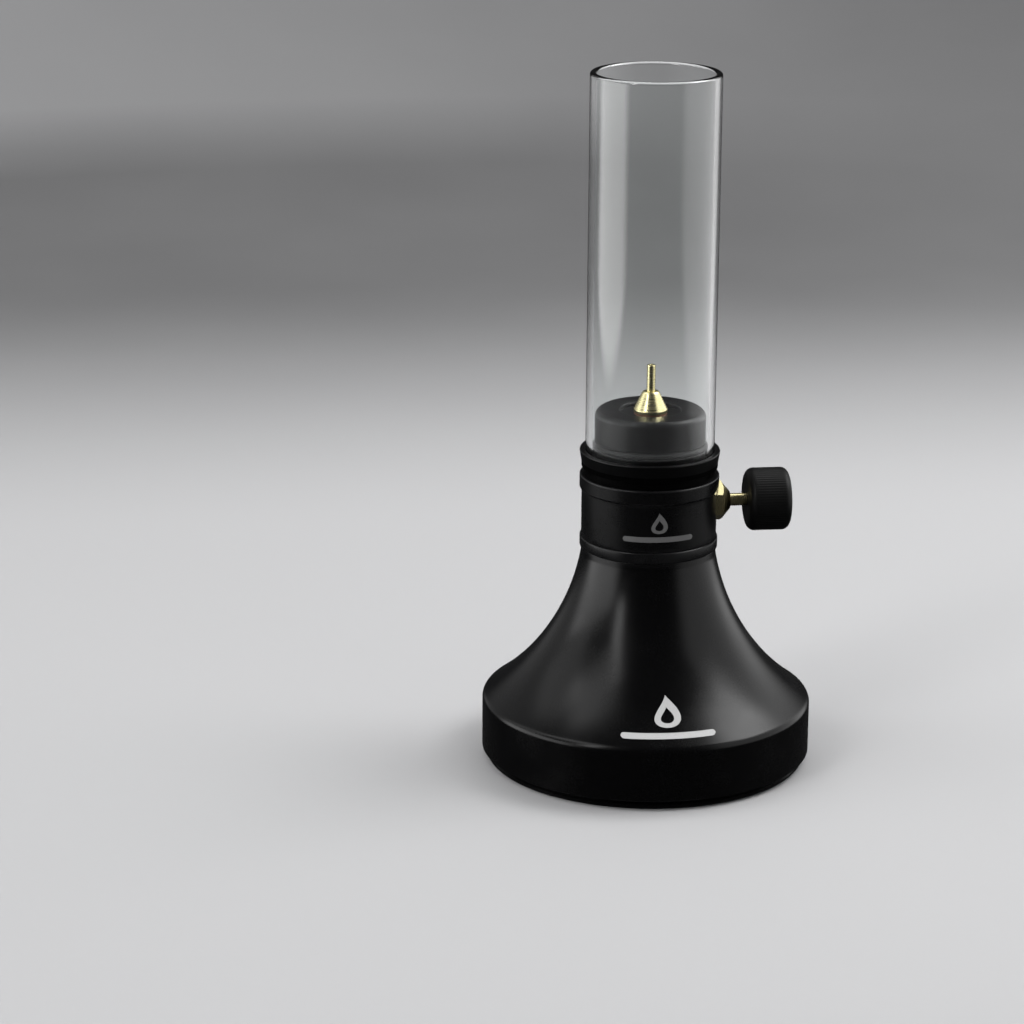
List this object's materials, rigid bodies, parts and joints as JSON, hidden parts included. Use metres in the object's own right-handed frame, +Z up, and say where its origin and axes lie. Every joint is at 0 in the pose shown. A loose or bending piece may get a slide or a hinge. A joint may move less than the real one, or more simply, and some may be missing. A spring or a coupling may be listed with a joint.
{
  "type": "gas burner lamp",
  "caption": "Table-top gas burner lamp: trumpet-shaped tank with filling port below, side needle valve with knob, brass jet and lift-off glass chimney.",
  "frame": {"origin": "centre of the round foot, on the surface the lamp stands on", "axes": "+Z up along the lamp's axis, +X along the valve's axis out to the knob, -Y is the printed front"},
  "size_m": [0.08, 0.08, 0.1685],
  "materials": {
    "black_anodised": "satin black anodised",
    "head_black": "matt black anodised",
    "brass": "polished",
    "copper": "satin copper",
    "steel": "satin",
    "dark_steel": "black oxide",
    "seal_rubber": "matt",
    "filter": "felt",
    "knob_plastic": "matt black",
    "glass": "clear"
  },
  "bodies": {
    "root": {"tank_body": "black_anodised", "base_plate": "black_anodised", "base_o_ring": "seal_rubber", "filler_valve_body": "brass", "filler_o_ring": "seal_rubber", "filler_spring": "steel", "filler_spring_cap": "brass", "lock_ring": "black_anodised", "neck_o_ring": "seal_rubber", "collar": "black_anodised", "valve_block": "brass", "feed_tube": "brass", "feed_filter": "filter", "spindle_o_ring": "seal_rubber", "gland_nut": "brass", "burner_head": "head_black", "head_grip_ring": "seal_rubber", "jet_washer": "copper", "jet_base": "brass", "jet_tube": "brass", "holder_ring": "black_anodised", "glass_gasket": "seal_rubber"},
    "needle": {"needle": "steel"},
    "knob": {"valve_spindle": "brass", "control_knob": "knob_plastic", "knob_grub_screw": "dark_steel"},
    "chimney": {"glass_chimney": "glass"},
    "poppet": {"filler_poppet": "brass", "poppet_seal": "seal_rubber"}
  },
  "joints": [
    {"name": "needle_travel", "type": "slide", "parent": "root", "child": "needle", "axis": [1, 0, 0], "range_m": [0, 0.000875]},
    {"name": "knob_turn", "type": "hinge", "parent": "needle", "child": "knob", "pos_m": [0.0288, 0, 0.0642], "axis": [1, 0, 0], "range_deg": [0, 450]},
    {"name": "chimney_lift", "type": "slide", "parent": "root", "child": "chimney", "axis": [0, 0, 1], "range_m": [0, 0.045]},
    {"name": "filler_press", "type": "slide", "parent": "root", "child": "poppet", "axis": [0, 0, 1], "range_m": [0, 0.0015], "stiffness_N_per_m": 400, "springref_m": -0.004, "deforming": ["filler_spring"]}
  ],
  "couplings": [
    {"joint": "knob_turn", "follows": "needle_travel", "rad_per_m": 8975}
  ]
}
